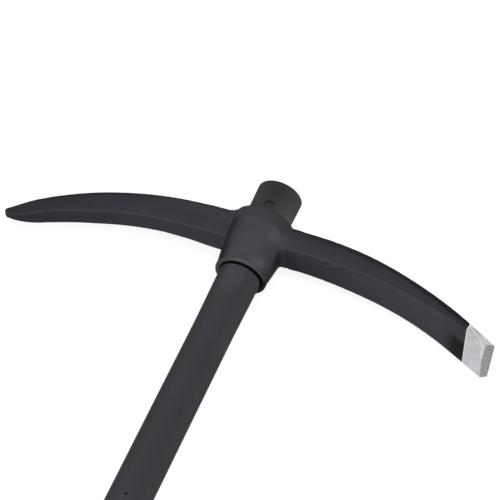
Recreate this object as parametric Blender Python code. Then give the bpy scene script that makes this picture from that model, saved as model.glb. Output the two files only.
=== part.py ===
"""Pickaxe: a forged two-armed head on a round steel tube handle, lying on its side.

The head has a blunt point on one arm and a flat chisel on the other. Its tall round eye is bored
with a slow taper. A tapered steel sleeve on the top of the tube wedges in that bore, stands above
the eye as a collar, and is held to the tube by a cross pin.

Tool frame: the handle runs along local Z with the eye's mouth at 0 and the head's top at +Z, the
arms lie along local X with the chisel at +X, and local -Y is the side that faces up on the floor.
"""

import math

import bmesh
import bpy
from mathutils import Quaternion, Vector

for old_object in list(bpy.data.objects):
    bpy.data.objects.remove(old_object, do_unlink=True)

# Clearances
fit_gap = 0.0003                # between any two pieces that seat on each other

# Handle tube
tube_radius = 0.0190
tube_wall = 0.0020
tool_length = 0.914             # top of the collar to the butt, a 36 inch tool
vent_radius = 0.0011            # small hole that lets air and paint out of the closed tube
vent_distance = 0.254           # below the eye's mouth

# Wedge sleeve on the tube's top end
sleeve_thin_wall = 0.00125      # at its lower, thin end
sleeve_taper = 0.0193           # growth of its radius for each metre of height
sleeve_inset = 0.012            # its lower end above the eye's mouth
sleeve_stand = 0.037            # collar that shows above the eye
sleeve_edge = 0.0009            # rounding of the collar's top edge

# Cross pin through collar and tube
pin_radius = 0.0041
pin_height = 0.0088             # its centre above the eye's top face
pin_sunk = 0.0019               # its ends below the collar's surface
pin_chamfer = 0.0005

# Eye of the head
eye_height = 0.0645
eye_mouth_wall = 0.0038
eye_top_wall = 0.0091
eye_bulge = 0.0008              # swell of its side beyond a plain cone
eye_shoulder = 0.0060           # rounding between its side and its top face
eye_mouth_edge = 0.0008
bore_mouth_chamfer = 0.0006

# Point arm: each section is (distance along the bent centreline, width across the tool, depth in
# the plane of the bend, rounding of its long edges, and where it isn't 0 its rise off that line)
point_drop = 0.0188             # centreline below the eye's top face
point_bend = (0.048, 0.326, math.radians(29.0))     # start, radius and angle of its one bend
point_sections = [
    (0.030, 0.0250, 0.0302, 0.0024),
    (0.048, 0.0240, 0.0298, 0.0024),
    (0.068, 0.0214, 0.0292, 0.0024),
    (0.098, 0.0208, 0.0268, 0.0024),
    (0.137, 0.0204, 0.0238, 0.0024),
    (0.165, 0.0194, 0.0222, 0.0022),
    (0.190, 0.0188, 0.0188, 0.0020),
    (0.213, 0.0172, 0.0160, 0.0018),
]
point_tip = (0.2450, 0.0060, 0.0077)        # distance, width and depth where the tip rounds over
point_tip_rise = 0.0021         # its centre there above the centreline, as the underside rises
point_tip_round = 0.0027
point_taper_swell = 0.0015      # outward bow of the ground taper's faces

# Chisel arm, in the same way
chisel_drop = 0.0178
chisel_bend = (0.048, 0.356, math.radians(26.0))
chisel_sections = [
    (0.030, 0.0298, 0.0260, 0.0026),
    (0.048, 0.0314, 0.0236, 0.0026),
    (0.068, 0.0334, 0.0228, 0.0026),
    (0.093, 0.0346, 0.0222, 0.0026),
    (0.120, 0.0386, 0.0188, 0.0024),
    (0.160, 0.0412, 0.0152, 0.0022),
    (0.187, 0.0446, 0.0126, 0.0020),
    (0.215, 0.0524, 0.0080, 0.0014),
    (0.241, 0.0545, 0.0062, 0.0006, -0.0007),
    (0.2528, 0.0550, 0.0057, 0.0004, -0.0007),
]
chisel_edge_angle = math.radians(46.0)      # between the end bevel and the blade
chisel_edge_skew = math.radians(4.2)        # the edge was ground a little out of square

# Concave roots where the arms grow out of the eye
root_fillet_point = 0.0080      # on the arm's two sides
root_fillet_chisel = 0.0100
root_fillet_rim = 0.0045        # over and under the arm

# Plugs and grip
plug_lip = 0.0022               # disc over the tube's top end
plug_spigot = 0.012
grip_length = 0.250
grip_wall = 0.0034
grip_rolled_edge = 0.0012
grip_groove_count = 11
grip_groove_depth = 0.0011
grip_groove_width = 0.0052
grip_plain_end = 0.020          # plain band before the first groove
grip_flare = 0.0040             # extra radius of the knob at the butt
grip_flare_length = 0.030
butt_lip = 0.0050
butt_spigot = 0.025
butt_edge = 0.0015

# Facets
round_steps = 56
pin_steps = 24
corner_steps = 3
flat_steps = 4
fillet_steps = 5
ring_gap = 0.012

# Places along the handle, measured from the eye's mouth
top_level = eye_height + sleeve_stand
butt_level = top_level - tool_length
tube_top = top_level - plug_lip - fit_gap
tube_bottom = butt_level + butt_lip + fit_gap
pin_level = eye_height + pin_height

# Radii that follow from the tube
sleeve_bore_radius = tube_radius + fit_gap
spigot_radius = tube_radius - tube_wall - fit_gap
grip_bore_radius = tube_radius + fit_gap
grip_radius = grip_bore_radius + grip_wall


def sleeve_radius(level):
    """Outer radius of the wedge sleeve at a height above the eye's mouth."""
    return sleeve_bore_radius + sleeve_thin_wall + sleeve_taper * (level - sleeve_inset)


def bore_radius(level):
    """Radius of the eye's tapered bore, which follows the sleeve."""
    return sleeve_radius(level) + fit_gap


eye_mouth_radius = bore_radius(0.0) + eye_mouth_wall
eye_top_radius = bore_radius(eye_height) + eye_top_wall

tool_axis = bpy.data.objects.new("tool_axis", None)
bpy.context.collection.objects.link(tool_axis)


def paint(name, colour, roughness, metallic):
    """One Principled material."""
    material = bpy.data.materials.new(name)
    material.use_nodes = True
    shader = material.node_tree.nodes["Principled BSDF"]
    shader.inputs["Base Color"].default_value = (*colour, 1.0)
    shader.inputs["Roughness"].default_value = roughness
    shader.inputs["Metallic"].default_value = metallic
    return material


def place(name, mesh, material=None):
    """Adds a piece to the tool; one without a material is a cutter or a guide."""
    piece = bpy.data.objects.new(name, mesh)
    bpy.context.collection.objects.link(piece)
    piece.parent = tool_axis
    if material is None:
        piece.hide_render = True
        piece.display_type = "WIRE"
    else:
        mesh.materials.append(material)
    return piece


def arc(centre_r, centre_z, radius, start, end, steps):
    """Points of an arc in the profile plane, angles in degrees from +r towards +z."""
    turns = [math.radians(start + (end - start) * i / steps) for i in range(steps + 1)]
    return [(centre_r + radius * math.cos(t), centre_z + radius * math.sin(t)) for t in turns]


def turned(name, profile, material=None, steps=round_steps):
    """A round piece from its (radius, height) profile, which runs down the outer side."""
    mesh = bpy.data.meshes.new(name)
    count = len(profile)
    hollow = min(radius for radius, _ in profile) > 0.0
    edges = [(i, (i + 1) % count) for i in range(count if hollow else count - 1)]
    mesh.from_pydata([(radius, 0.0, height) for radius, height in profile], edges, [])
    piece = place(name, mesh, material)
    screw = piece.modifiers.new("turn", "SCREW")
    screw.axis = "Z"
    screw.steps = steps
    screw.render_steps = steps
    screw.use_merge_vertices = True
    screw.merge_threshold = 0.00001
    return piece


def combine(piece, other, operation):
    """Adds a Boolean with another object."""
    boolean = piece.modifiers.new(operation.lower() + "_" + other.name, "BOOLEAN")
    boolean.operation = operation
    boolean.solver = "EXACT"
    boolean.object = other


def shade(piece, angle=math.radians(32.0)):
    """Round faces shade smooth and real edges stay sharp, after all the other modifiers."""
    for polygon in piece.data.polygons:
        polygon.use_smooth = True
    piece.data.set_sharp_from_angle(angle=angle)


def slope(before, here, after, run_in, run_out):
    """Tangent at a section: the milder of its two slopes, or none where the size turns back."""
    first = (here - before) / run_in if run_in > 0.0 else (after - here) / run_out
    second = (after - here) / run_out if run_out > 0.0 else first
    if first * second <= 0.0:
        return 0.0
    return 2.0 * first * second / (first + second)


def eased(sections, s):
    """Sizes of the section at distance s, on smooth curves through the given sections."""
    if s <= sections[0][0]:
        return sections[0][1:]
    for i in range(len(sections) - 1):
        low, high = sections[i], sections[i + 1]
        if s > high[0]:
            continue
        before, after = sections[max(i - 1, 0)], sections[min(i + 2, len(sections) - 1)]
        span = high[0] - low[0]
        t = (s - low[0]) / span
        sizes = []
        for k in range(1, len(low)):
            enter = slope(before[k], low[k], high[k], low[0] - before[0], span) * span
            leave = slope(low[k], high[k], after[k], span, after[0] - high[0]) * span
            rise = high[k] - low[k]
            bend = t * (enter - 2.0 * rise + leave) + (3.0 * rise - 2.0 * enter - leave)
            sizes.append(low[k] + t * (enter + t * bend))
        return sizes
    return sections[-1][1:]


def centreline(s, drop, bend):
    """Place, heading and across direction on an arm's centreline, s metres from the handle's axis."""
    straight, radius, angle = bend
    turn = min(max(s - straight, 0.0) / radius, angle)
    past = max(s - straight - radius * angle, 0.0)
    x = min(s, straight) + radius * math.sin(turn) + past * math.cos(turn)
    z = eye_height - drop - radius * (1.0 - math.cos(turn)) - past * math.sin(turn)
    along = Vector((math.cos(turn), 0.0, -math.sin(turn)))
    across = Vector((math.sin(turn), 0.0, math.cos(turn)))
    return Vector((x, 0.0, z)), along, across


def section(width, depth, corner):
    """A rounded rectangle as [(across the tool, in the bend's plane), outward direction]."""
    corner = min(corner, 0.45 * width, 0.45 * depth)
    corners = []
    for start, side, rise in ((0, 1, 1), (90, -1, 1), (180, -1, -1), (270, 1, -1)):
        middle = Vector((side * (width / 2.0 - corner), rise * (depth / 2.0 - corner)))
        for i in range(corner_steps + 1):
            turn = math.radians(start + 90.0 * i / corner_steps)
            out = Vector((math.cos(turn), math.sin(turn)))
            corners.append((middle + corner * out, out))
    outline = []
    for i, (point, out) in enumerate(corners):
        outline.append((point, out))
        if i % (corner_steps + 1) == corner_steps:
            following = corners[(i + 1) % len(corners)][0]
            for k in range(1, flat_steps):
                outline.append((point.lerp(following, k / flat_steps), out))
    return outline


def nearest_on_eye(point):
    """Nearest point of the eye's outer surface to a point outside it."""
    reach = math.hypot(point.x, point.y)
    flat = Vector((reach, point.z))
    best = None
    profile = [Vector(corner) for corner in eye_profile()]
    for first, second in zip(profile, profile[1:]):
        edge = second - first
        t = min(max((flat - first).dot(edge) / edge.length_squared, 0.0), 1.0)
        here = first + t * edge
        if best is None or (flat - here).length < (flat - best).length:
            best = here
    return Vector((point.x * best.x / reach, point.y * best.x / reach, best.y))


def root_rings(outline, level, side_fillet):
    """Rings of a concave root: a ball rolled round the arm where it meets the eye.

    For each point of the outline the ball touches the arm's straight root and the eye at once. The
    rings follow its arc from the arm to the eye, go a little past it, and end inside the eye.
    """
    columns = []
    for point, out in outline:
        radius = side_fillet * out.x ** 2 + root_fillet_rim * out.y ** 2
        centre = Vector((0.0, point.x + radius * out.x, level + point.y + radius * out.y))
        near, far = 0.5 * eye_mouth_radius, 2.0 * eye_top_radius
        for _ in range(30):
            centre.x = (near + far) / 2.0
            if (centre - nearest_on_eye(centre)).length < radius:
                near = centre.x
            else:
                far = centre.x
        to_arm = Vector((0.0, -out.x, -out.y))
        to_eye = (nearest_on_eye(centre) - centre).normalized()
        axis = to_arm.cross(to_eye)
        turn = to_arm.angle(to_eye)
        column = []
        for i in range(fillet_steps + 2):
            past_eye = math.radians(9.0) if i > fillet_steps else 0.0
            angle = turn * min(i / fillet_steps, 1.0) + past_eye
            column.append(centre + radius * (Quaternion(axis, angle) @ to_arm))
        inside = column[-1].copy()
        inside.x = 0.3 * eye_top_radius
        column.append(inside)
        columns.append(column)
    return [[column[i] for column in columns] for i in reversed(range(fillet_steps + 3))]


def stations(sections, start):
    """Distances of an arm's rings: one at every section, and more where these are far apart."""
    places = [start]
    for distance in [row[0] for row in sections if row[0] > start]:
        last = places[-1]
        steps = math.ceil((distance - last) / ring_gap)
        places += [last + (distance - last) * i / steps for i in range(1, steps + 1)]
    return places


def arm(name, side, sections, drop, bend, side_fillet, ending):
    """One drawn-out arm: its root rings, then rounded sections along the bent centreline."""
    rows = [(*row, 0.0)[:5] for row in sections]
    loops = root_rings(section(*rows[0][1:4]), eye_height - drop, side_fillet)
    places = stations(rows, max(point.x for point in loops[-1]) + 0.002)
    for s in places:
        centre, along, across = centreline(s, drop, bend)
        width, depth, corner, rise = eased(rows, s)
        ring = []
        for point, _ in section(width, depth, corner):
            slide = ending(point, depth) if s == places[-1] and ending else 0.0
            ring.append(centre + along * slide + across * (point.y + rise) + Vector((0.0, point.x, 0.0)))
        loops.append(ring)
    form = bmesh.new()
    rings = [[form.verts.new((side * p.x, p.y, p.z)) for p in loop] for loop in loops]
    for first, second in zip(rings, rings[1:]):
        for i in range(len(first)):
            j = (i + 1) % len(first)
            form.faces.new((first[i], first[j], second[j], second[i]))
    form.faces.new(rings[0])
    form.faces.new(rings[-1])
    bmesh.ops.recalc_face_normals(form, faces=form.faces)
    mesh = bpy.data.meshes.new(name)
    form.to_mesh(mesh)
    form.free()
    return place(name, mesh)


def eye_profile():
    """Outer profile of the eye, from the axis over the shoulder and down to the mouth."""
    shoulder_r = eye_top_radius - eye_shoulder
    shoulder_z = eye_height - eye_shoulder
    profile = [(0.0, eye_height)]
    profile += arc(shoulder_r, shoulder_z, eye_shoulder, 90.0, 0.0, 6)
    side_steps = 8
    for i in range(1, side_steps):
        t = i / side_steps
        chord = eye_top_radius + (eye_mouth_radius - eye_top_radius) * t
        level = shoulder_z + (eye_mouth_edge - shoulder_z) * t
        profile.append((chord + 4.0 * eye_bulge * t * (1.0 - t), level))
    profile += arc(eye_mouth_radius - eye_mouth_edge, eye_mouth_edge, eye_mouth_edge, 0.0, -90.0, 3)
    return profile + [(0.0, 0.0)]


def pointed(sections, tip, tip_rise, tip_round, swell):
    """Adds the ground taper and the rounded-over tip to a point arm's sections."""
    start = sections[-1]
    steps = 5
    taper = []
    for i in range(1, steps + 1):
        t = i / steps
        bow = 4.0 * swell * t * (1.0 - t)
        sizes = [a + (b - a) * t for a, b in zip(start[:3], tip)]
        taper.append((sizes[0], sizes[1] + bow, sizes[2] + bow, start[3], tip_rise * t ** 4))
    last = []
    for turn in (math.radians(40.0), math.radians(70.0)):
        shrink = 2.0 * tip_round * (1.0 - math.cos(turn))
        reach = tip[0] + tip_round * math.sin(turn)
        last.append((reach, tip[1] - shrink, tip[2] - shrink, start[3], tip_rise + 0.25 * shrink))
    return sections + taper + last


def pick_head():
    """The forging: eye and two arms joined, then bored."""
    head = turned("pick_head", eye_profile(), paint("black_forging", (0.045, 0.047, 0.052), 0.55, 0.0))
    rows = pointed(point_sections, point_tip, point_tip_rise, point_tip_round, point_taper_swell)
    point = arm("point_arm_form", -1, rows, point_drop, point_bend, root_fillet_point, None)
    combine(head, point, "UNION")

    def bevelled(place_in_section, depth):
        lean = (place_in_section.y - depth / 2.0) / math.tan(chisel_edge_angle)
        return lean - place_in_section.x * math.tan(chisel_edge_skew)

    rows = chisel_sections
    chisel = arm("chisel_arm_form", 1, rows, chisel_drop, chisel_bend, root_fillet_chisel, bevelled)
    combine(head, chisel, "UNION")
    mouth = bore_radius(0.0)
    margin = 0.004
    bore = [
        (0.0, eye_height + margin),
        (bore_radius(eye_height + margin), eye_height + margin),
        (bore_radius(bore_mouth_chamfer), bore_mouth_chamfer),
        (mouth + bore_mouth_chamfer, 0.0),
        (mouth + bore_mouth_chamfer, -margin),
        (0.0, -margin),
    ]
    combine(head, turned("eye_bore_cutter", bore), "DIFFERENCE")
    shade(head)
    return head


def handle():
    """The tube, its wedge sleeve, the cross pin and the plugs that close both ends."""
    steel = paint("grey_tube_coat", (0.048, 0.050, 0.055), 0.5, 0.0)
    black = paint("black_sleeve", (0.040, 0.040, 0.043), 0.5, 0.0)
    bare = paint("blackened_pin", (0.060, 0.060, 0.062), 0.45, 0.4)
    plastic = paint("black_plastic", (0.020, 0.020, 0.021), 0.6, 0.0)
    inner = tube_radius - tube_wall
    tube = turned("handle_tube", [
        (tube_radius, tube_top), (tube_radius, tube_bottom), (inner, tube_bottom), (inner, tube_top),
    ], steel)
    edge_r = sleeve_radius(top_level) - sleeve_edge
    sleeve = turned("wedge_sleeve", [
        (sleeve_bore_radius, top_level),
        *arc(edge_r, top_level - sleeve_edge, sleeve_edge, 90.0, 0.0, 3),
        (sleeve_radius(sleeve_inset), sleeve_inset),
        (sleeve_bore_radius, sleeve_inset),
    ], black)
    reach = sleeve_radius(pin_level) - pin_sunk
    pin = turned("cross_pin", [
        (0.0, reach), (pin_radius - pin_chamfer, reach), (pin_radius, reach - pin_chamfer),
        (pin_radius, pin_chamfer - reach), (pin_radius - pin_chamfer, -reach), (0.0, -reach),
    ], bare, pin_steps)
    hole_radius = pin_radius + fit_gap
    past = sleeve_radius(top_level) * 1.5
    drill = turned("pin_hole_cutter", [
        (0.0, past), (hole_radius, past), (hole_radius, -past), (0.0, -past),
    ], None, pin_steps)
    for round_bar in (pin, drill):
        round_bar.rotation_euler = (math.radians(90.0), 0.0, 0.0)
        round_bar.location = (0.0, 0.0, pin_level)
    combine(sleeve, drill, "DIFFERENCE")
    combine(tube, drill, "DIFFERENCE")
    vent = turned("vent_cutter", [
        (0.0, past), (vent_radius, past), (vent_radius, 0.0), (0.0, 0.0),
    ], None, 12)
    vent.rotation_euler = (math.radians(90.0), 0.0, 0.0)
    vent.location = (0.0, 0.0, -vent_distance)
    combine(tube, vent, "DIFFERENCE")
    top_plug = turned("top_plug", [
        (0.0, top_level), (tube_radius, top_level), (tube_radius, top_level - plug_lip),
        (spigot_radius, top_level - plug_lip), (spigot_radius, tube_top - plug_spigot),
        (0.0, tube_top - plug_spigot),
    ], plastic)
    butt_radius = grip_radius + grip_flare
    butt_plug = turned("butt_plug", [
        (0.0, tube_bottom + butt_spigot), (spigot_radius, tube_bottom + butt_spigot),
        (spigot_radius, butt_level + butt_lip),
        (butt_radius, butt_level + butt_lip),
        *arc(butt_radius - butt_edge, butt_level + butt_edge, butt_edge, 0.0, -90.0, 3),
        (0.0, butt_level),
    ], plastic)
    for piece in (tube, sleeve, pin, top_plug, butt_plug):
        shade(piece)


def grip():
    """Rubber sleeve pulled over the lower end, ringed with grooves and flared at the butt."""
    bottom = tube_bottom
    top = bottom + grip_length
    flare_top = bottom + grip_flare_length
    profile = [(grip_bore_radius, top)]
    profile += arc(grip_radius - grip_rolled_edge, top - grip_rolled_edge, grip_rolled_edge, 90.0, 0.0, 3)
    first = top - grip_plain_end
    last = flare_top + grip_plain_end / 2.0
    pitch = (first - last) / grip_groove_count
    for i in range(grip_groove_count):
        centre = first - pitch * (i + 0.5)
        half = grip_groove_width / 2.0
        profile += [
            (grip_radius, centre + half),
            (grip_radius - grip_groove_depth, centre + half / 3.0),
            (grip_radius - grip_groove_depth, centre - half / 3.0),
            (grip_radius, centre - half),
        ]
    flare_steps = 6
    for i in range(flare_steps + 1):
        swell = 0.5 - 0.5 * math.cos(math.pi * i / flare_steps)
        level = flare_top + (bottom + grip_flare_length / 4.0 - flare_top) * i / flare_steps
        profile.append((grip_radius + grip_flare * swell, level))
    profile += [(grip_radius + grip_flare, bottom), (grip_bore_radius, bottom)]
    sleeve = turned("grip_sleeve", profile, paint("black_rubber", (0.018, 0.018, 0.019), 0.75, 0.0), 36)
    shade(sleeve)


head_piece = pick_head()
handle()
grip()

# The tool lies on the widest part of its eye, over the middle of its own footprint.
bpy.context.view_layer.update()
forged = head_piece.evaluated_get(bpy.context.evaluated_depsgraph_get())
across_tool = [corner[0] for corner in forged.bound_box]
tool_axis.rotation_euler = (math.radians(-90.0), 0.0, 0.0)
tool_axis.location = (
    -(min(across_tool) + max(across_tool)) / 2.0,
    tool_length / 2.0 - top_level,
    eye_top_radius,
)
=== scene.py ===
"""Pickaxe lying on a pale studio floor: a forged head wedged on a powder-coated steel tube.

Pieces come in the order of assembly: tube, its top plug, the wedge sleeve and its pin, the forged
head and its ground blade, then the grip and the butt plug. Lengths are in metres.
"""

import math

import bmesh
import bpy
from mathutils import Matrix, Quaternion, Vector


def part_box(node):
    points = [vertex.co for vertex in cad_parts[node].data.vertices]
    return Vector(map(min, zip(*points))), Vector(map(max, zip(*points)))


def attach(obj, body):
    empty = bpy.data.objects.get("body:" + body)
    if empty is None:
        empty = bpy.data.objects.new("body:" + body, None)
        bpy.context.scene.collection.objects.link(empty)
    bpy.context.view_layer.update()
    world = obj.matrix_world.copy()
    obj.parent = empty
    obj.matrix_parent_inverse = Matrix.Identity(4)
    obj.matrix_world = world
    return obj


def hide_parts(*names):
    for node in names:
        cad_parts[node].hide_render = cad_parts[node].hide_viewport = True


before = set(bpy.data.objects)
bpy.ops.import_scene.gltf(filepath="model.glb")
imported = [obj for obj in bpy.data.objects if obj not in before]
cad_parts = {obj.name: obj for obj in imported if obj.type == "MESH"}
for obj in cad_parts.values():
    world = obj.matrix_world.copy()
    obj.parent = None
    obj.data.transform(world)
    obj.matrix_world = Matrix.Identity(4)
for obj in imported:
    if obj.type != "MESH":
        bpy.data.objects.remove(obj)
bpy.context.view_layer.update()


# Handle tube
# Drawn steel tube, 38 mm across with a 2 mm wall. Its dark grey powder coat is sprayed dry and
# baked, which leaves a soft gloss and a fine orange peel. A small drilled hole vents the tube.

tube_low, tube_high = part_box("handle_tube")
_, sleeve_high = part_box("wedge_sleeve")
collar_height = 0.1015          # the collar's top above the eye's mouth
eye_mouth = Vector((
    (tube_low[0] + tube_high[0]) / 2.0,
    sleeve_high[1] - collar_height,
    (tube_low[2] + tube_high[2]) / 2.0,
))
lying = Matrix.Translation(eye_mouth) @ Matrix.Rotation(math.radians(-90.0), 4, "X")
tube_radius = 0.0190
tube_wall = 0.0020
tube_edge = 0.0003
tube_top = tube_high[1] - eye_mouth.y
tube_bottom = tube_low[1] - eye_mouth.y
tube_swell = 0.0009             # the tube widens a little towards the eye
swell_length = 0.070
vent_radius = 0.0014
vent_distance = 0.254
vent_shift = 0.0006
pin_radius = 0.0041
pin_gap = 0.0003
pin_level = 0.0733
drill_reach = 0.030
coat_cloud = 0.060              # spacing of the coat's thicker and thinner patches
orange_peel = (0.0014, 0.0001)  # spacing and depth of the coat's ripples
lightened_levels = (0.045, 0.014)  # distances below the eye between which the painted light sets in
mouth_shade_levels = (0.0014, 0.0002)    # and between which the painted shade at the mouth does


def linear(hex_colour):
    """An sRGB hex value as linear RGBA."""
    channels = [int(hex_colour[i:i + 2], 16) / 255.0 for i in (1, 3, 5)]
    return [c / 12.92 if c <= 0.04045 else ((c + 0.055) / 1.055) ** 2.4 for c in channels] + [1.0]


def give(node, inputs):
    """Gives a node its inputs: values, hex colours, sockets, or nodes for their first output."""
    for name, value in inputs.items():
        if isinstance(value, bpy.types.Node):
            value = value.outputs[0]
        if isinstance(value, bpy.types.NodeSocket):
            node.id_data.links.new(value, node.inputs[name])
        else:
            node.inputs[name].default_value = linear(value) if isinstance(value, str) else value


def add(tree, kind, inputs=None, stops=(), **settings):
    """Adds a node with its inputs, a colour ramp's (position, hex colour) stops and other settings."""
    node = tree.nodes.new(kind)
    for name, value in settings.items():
        setattr(node, name, value)
    give(node, inputs or {})
    if stops:
        elements = node.color_ramp.elements
        while len(elements) < len(stops):
            elements.new(0.5)
        for element, (position, colour) in zip(elements, stops):
            element.position = position
            element.color = linear(colour)
    return node


def finish_named(name):
    """A material with a bare Principled shader, and its tree, shader and object coordinates."""
    material = bpy.data.materials.new(name)
    material.use_nodes = True
    tree = material.node_tree
    coordinates = add(tree, "ShaderNodeTexCoord").outputs["Object"]
    return material, tree, tree.nodes["Principled BSDF"], coordinates


def where(tree, *limits):
    """A soft mask: 1 where every limit holds, 0 elsewhere.

    A limit is a measure with two values, 0 at the first and 1 at the second. It can also be another
    mask, or a number that weakens the whole.
    """
    mask = None
    for limit in limits:
        if isinstance(limit, tuple):
            measure, start, end = limit
            falling = float(start > end)
            limit = add(tree, "ShaderNodeMapRange", {
                "Value": measure, "From Min": min(start, end), "From Max": max(start, end),
                "To Min": falling, "To Max": 1.0 - falling,
            }, interpolation_type="SMOOTHSTEP")
        if mask is not None:
            limit = add(tree, "ShaderNodeMath", {0: mask, 1: limit}, operation="MULTIPLY")
        mask = limit
    return mask


def layered(tree, colour, *coats):
    """A colour with coats laid over it where their masks hold: each covers, or with MULTIPLY tints."""
    for mask, coat, *kind in coats:
        colour = add(tree, "ShaderNodeMixRGB", {
            "Fac": mask, "Color1": colour, "Color2": coat,
        }, blend_type=kind[0] if kind else "MIX")
    return colour


def mottled(tree, coordinates, size, detail, dark, pale, start=0.3, end=0.7):
    """Patches of a size, and the colour that they give between a dark and a pale one."""
    patches = add(tree, "ShaderNodeTexNoise", {"Vector": coordinates, "Scale": 1 / size, "Detail": detail})
    return patches, add(tree, "ShaderNodeValToRGB", {"Fac": patches}, [(start, dark), (end, pale)])


def grained(tree, coordinates, spacing, depth, detail, strength, **under):
    """Normals of a surface with a grain of a spacing and depth, over other normals or none."""
    grain = add(tree, "ShaderNodeTexNoise", {
        "Vector": coordinates, "Scale": 1 / spacing, "Detail": detail,
    })
    return add(tree, "ShaderNodeBump", {"Height": grain, "Strength": strength, "Distance": depth, **under})


powder_coat, tree, shader, coordinates = finish_named("grey_powder_coat")
cloud, coat_colour = mottled(tree, coordinates, coat_cloud, 3.0, "#444648", "#494b4f")
x, y, z = add(tree, "ShaderNodeSeparateXYZ", {"Vector": coordinates}).outputs
# Painted light and shade across the tube: darker at its left side, palest at its right.
across_tube = add(tree, "ShaderNodeMapRange", {
    "Value": x, "From Min": eye_mouth.x - tube_radius, "From Max": eye_mouth.x + tube_radius,
})
painted_side_light = add(tree, "ShaderNodeValToRGB", {"Fac": across_tube}, [
    (0.02, "#d0ceca"), (0.15, "#d3d1cd"), (0.30, "#e3e2e3"), (0.42, "#efeef3"), (0.80, "#ececf0"),
    (0.95, "#ffffff"),
])
# Painted light for a few centimetres below the eye, on the middle of the tube, and painted shade,
# black, where it enters the eye.
painted_light_below_eye = where(
    tree, (y, *[eye_mouth.y - level for level in lightened_levels]),
    (across_tube, 0.15, 0.35), (across_tube, 0.90, 0.62), 0.7,
)
painted_shade_at_mouth = where(tree, (y, *[eye_mouth.y - level for level in mouth_shade_levels]))
coat_colour = layered(
    tree, coat_colour, (1.0, painted_side_light, "MULTIPLY"), (painted_light_below_eye, "#4c4e53"), (painted_shade_at_mouth, "#090909"),
)
rub = add(tree, "ShaderNodeMapRange", {
    "Value": cloud, "From Min": 0.3, "From Max": 0.7, "To Min": 0.70, "To Max": 0.80,
})
peel = grained(tree, coordinates, *orange_peel, 2.0, 0.25)
give(shader, {
    "Base Color": coat_colour, "Roughness": rub, "Specular IOR Level": 0.03, "Diffuse Roughness": 0.5,
    "Normal": peel,
})


def wall_tree(name, more_sizes=(), shaped=None):
    """Geometry Nodes that turn a four-cornered wall section, shaped further or not, round the axis."""
    tree = bpy.data.node_groups.new(name, "GeometryNodeTree")
    tree.interface.new_socket("Geometry", in_out="OUTPUT", socket_type="NodeSocketGeometry")
    sizes = ("Inner radius", "Wall at top", "Wall at bottom", "Top", "Bottom", "Edge rounding", *more_sizes)
    inputs = [(size, "Float") for size in sizes]
    inputs += [("Edge steps", "Int"), ("Steps round", "Int"), ("Finish", "Material")]
    for title, kind in inputs:
        tree.interface.new_socket(title, in_out="INPUT", socket_type="NodeSocket" + kind)
    given = add(tree, "NodeGroupInput").outputs
    corners = [(None, "Top"), ("Wall at top", "Top"), ("Wall at bottom", "Bottom"), (None, "Bottom")]
    points = {}
    for number, (wall, end) in enumerate(corners, 1):
        place = {"Y": add(tree, "ShaderNodeMath", {0: given[end], 1: -1.0}, operation="MULTIPLY")}
        if wall:
            place["X"] = given[wall]
        points["Point %d" % number] = add(tree, "ShaderNodeCombineXYZ", place)
    outline = add(tree, "GeometryNodeCurvePrimitiveQuadrilateral", points, mode="POINTS")
    profile = add(tree, "GeometryNodeFilletCurve", {
        "Curve": outline, "Radius": given["Edge rounding"], "Count": given["Edge steps"],
    }, mode="POLY")
    if shaped:
        profile = shaped(tree, given, profile)
    ring = add(tree, "GeometryNodeCurvePrimitiveCircle", {
        "Resolution": given["Steps round"], "Radius": given["Inner radius"],
    })
    upright = add(tree, "GeometryNodeSetCurveNormal", {"Curve": ring}, mode="Z_UP")
    turned_wall = add(tree, "GeometryNodeCurveToMesh", {"Curve": upright, "Profile Curve": profile})
    real = add(tree, "GeometryNodeRealizeInstances", {"Geometry": turned_wall})
    finished = add(tree, "GeometryNodeSetMaterial", {"Geometry": real, "Material": given["Finish"]})
    add(tree, "NodeGroupOutput", {"Geometry": finished})
    return tree


def linked(name, data):
    """A new object in the scene that shows this data."""
    piece = bpy.data.objects.new(name, data)
    bpy.context.collection.objects.link(piece)
    return piece


def piece_from(form, name):
    """An object made from a bmesh, which is used up."""
    mesh = bpy.data.meshes.new(name)
    form.to_mesh(mesh)
    form.free()
    return linked(name, mesh)


def settle(piece):
    """Keeps the mesh that a piece's modifiers make, and removes them."""
    graph = bpy.context.evaluated_depsgraph_get()
    mesh = bpy.data.meshes.new_from_object(piece.evaluated_get(graph))
    piece.modifiers.clear()
    piece.data = mesh


def grown(name, node_tree, sizes):
    """A piece whose mesh comes from a Geometry Nodes tree, as a plain mesh."""
    piece = linked(name, bpy.data.meshes.new(name))
    modifier = piece.modifiers.new("shape", "NODES")
    modifier.node_group = node_tree
    for socket in node_tree.interface.items_tree:
        if socket.in_out == "INPUT":
            modifier[socket.identifier] = sizes[socket.name]
    settle(piece)
    return piece


def smooth(piece, angle=35.0):
    """Shades a piece smooth up to real edges."""
    piece.data.shade_smooth()
    piece.data.set_sharp_from_angle(angle=math.radians(angle))


def turned(name, profile, steps=96, weld=0.000001):
    """A closed round piece from its (radius, height) profile, both ends on the axis."""
    form = bmesh.new()
    points = [form.verts.new((radius, 0.0, height)) for radius, height in profile]
    edges = [form.edges.new(pair) for pair in zip(points, points[1:])]
    bmesh.ops.spin(form, geom=points + edges, cent=(0, 0, 0), axis=(0, 0, 1),
                   angle=math.tau, steps=steps, use_merge=True)
    bmesh.ops.remove_doubles(form, verts=form.verts, dist=weld)
    bmesh.ops.recalc_face_normals(form, faces=form.faces)
    return piece_from(form, name)


def cut(piece, cutter, solver="EXACT"):
    """Drills or trims a piece with another form, which is used up."""
    boolean = piece.modifiers.new("cut", "BOOLEAN")
    boolean.operation = "DIFFERENCE"
    boolean.solver = solver
    boolean.object = cutter
    settle(piece)
    bpy.data.objects.remove(cutter)


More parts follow.
